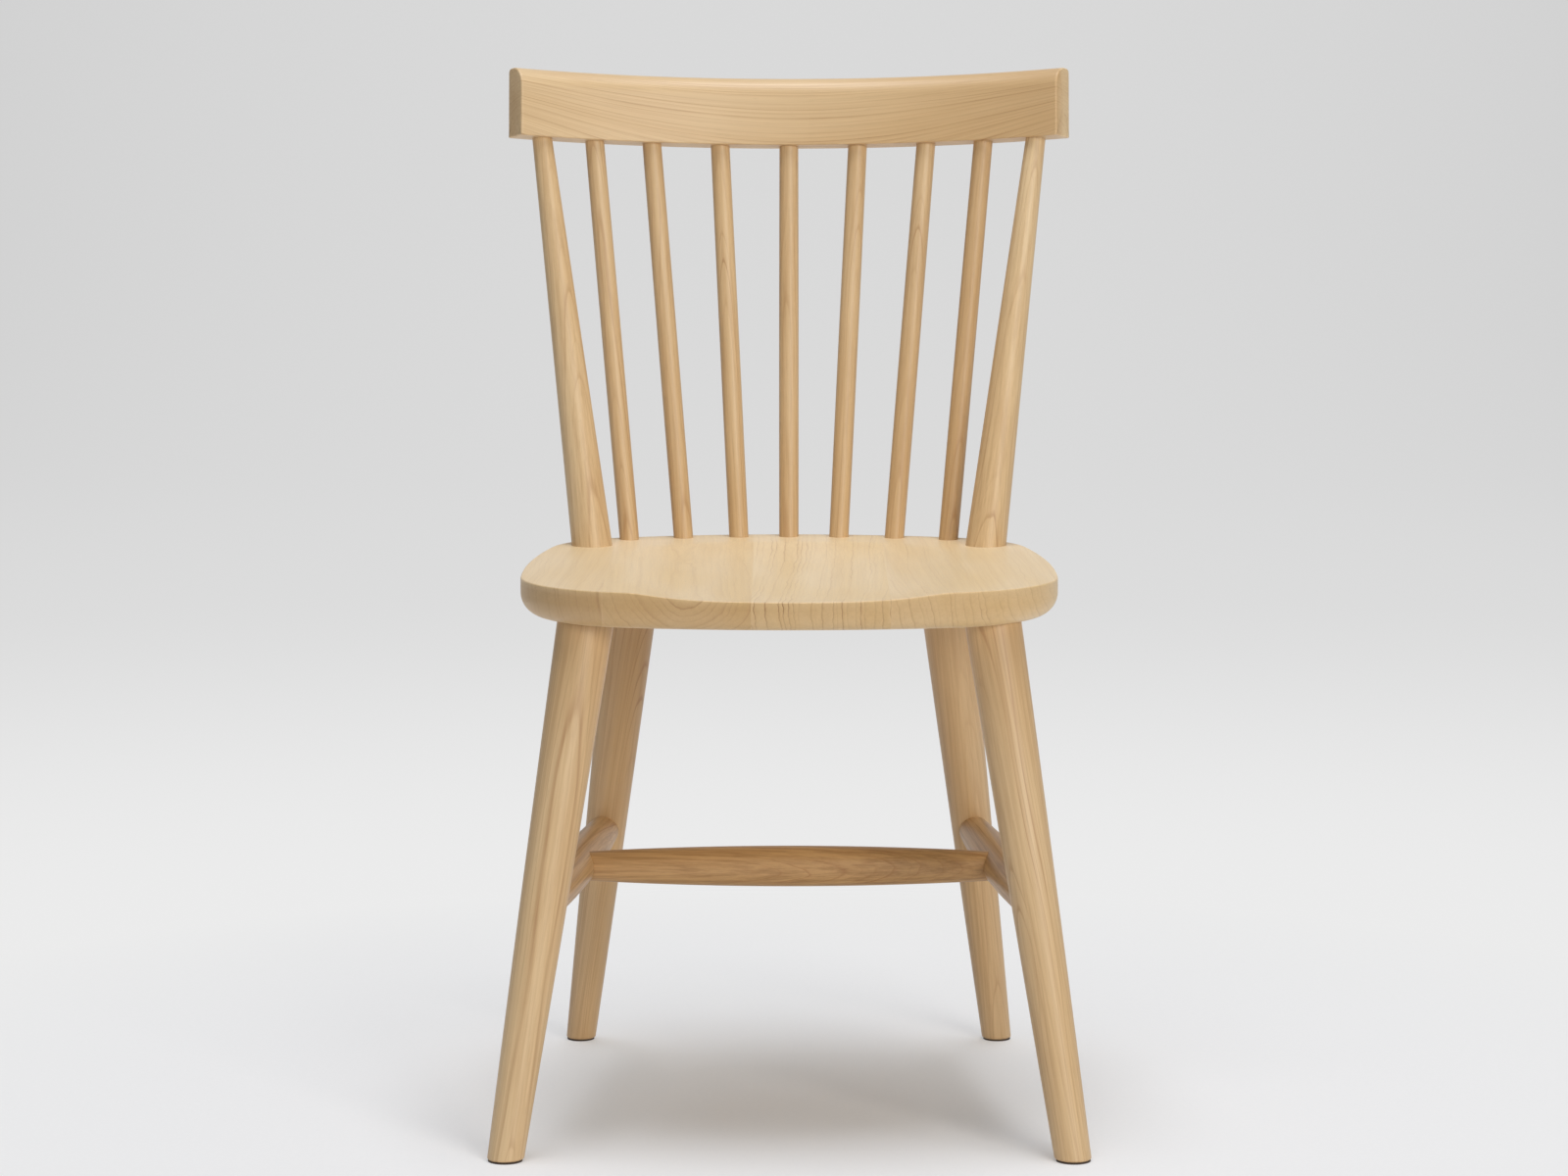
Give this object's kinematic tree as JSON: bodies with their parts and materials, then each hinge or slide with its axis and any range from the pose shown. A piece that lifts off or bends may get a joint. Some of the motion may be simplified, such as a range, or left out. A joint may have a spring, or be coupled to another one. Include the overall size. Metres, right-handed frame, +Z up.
{
  "type": "windsor dining chair",
  "caption": "Armless windsor chair with a saddled plank seat, splayed turned legs on an H stretcher, and a spindle back under a bent crest rail.",
  "frame": {"origin": "on the floor, at the centre of the chair's footprint box", "axes": "+X to the right as seen from the front, +Y to the back of the chair, +Z up"},
  "size_m": [0.4794, 0.502, 0.8508],
  "materials": {
    "seat_wood": "pale maple, clear satin finish, glued boards",
    "rail_wood": "pale maple, clear satin finish, grain along the rail",
    "turned_wood": "pale maple, clear satin finish, grain along each stick",
    "foot_glide": "dark brown plastic, moulded"
  },
  "bodies": {
    "root": {"back_post_left": "turned_wood", "back_post_right": "turned_wood", "crest_rail": "rail_wood", "cross_stretcher": "turned_wood", "front_foot_glide_left": "foot_glide", "front_foot_glide_right": "foot_glide", "front_leg_left": "turned_wood", "front_leg_right": "turned_wood", "rear_foot_glide_left": "foot_glide", "rear_foot_glide_right": "foot_glide", "rear_leg_left": "turned_wood", "rear_leg_right": "turned_wood", "seat_board_inner_left": "seat_wood", "seat_board_middle": "seat_wood", "seat_board_outer_left": "seat_wood", "seat_board_right": "seat_wood", "side_stretcher_left": "turned_wood", "side_stretcher_right": "turned_wood", "spindle_1": "turned_wood", "spindle_2": "turned_wood", "spindle_3": "turned_wood", "spindle_4": "turned_wood", "spindle_5": "turned_wood", "spindle_6": "turned_wood", "spindle_7": "turned_wood"}
  },
  "joints": []
}
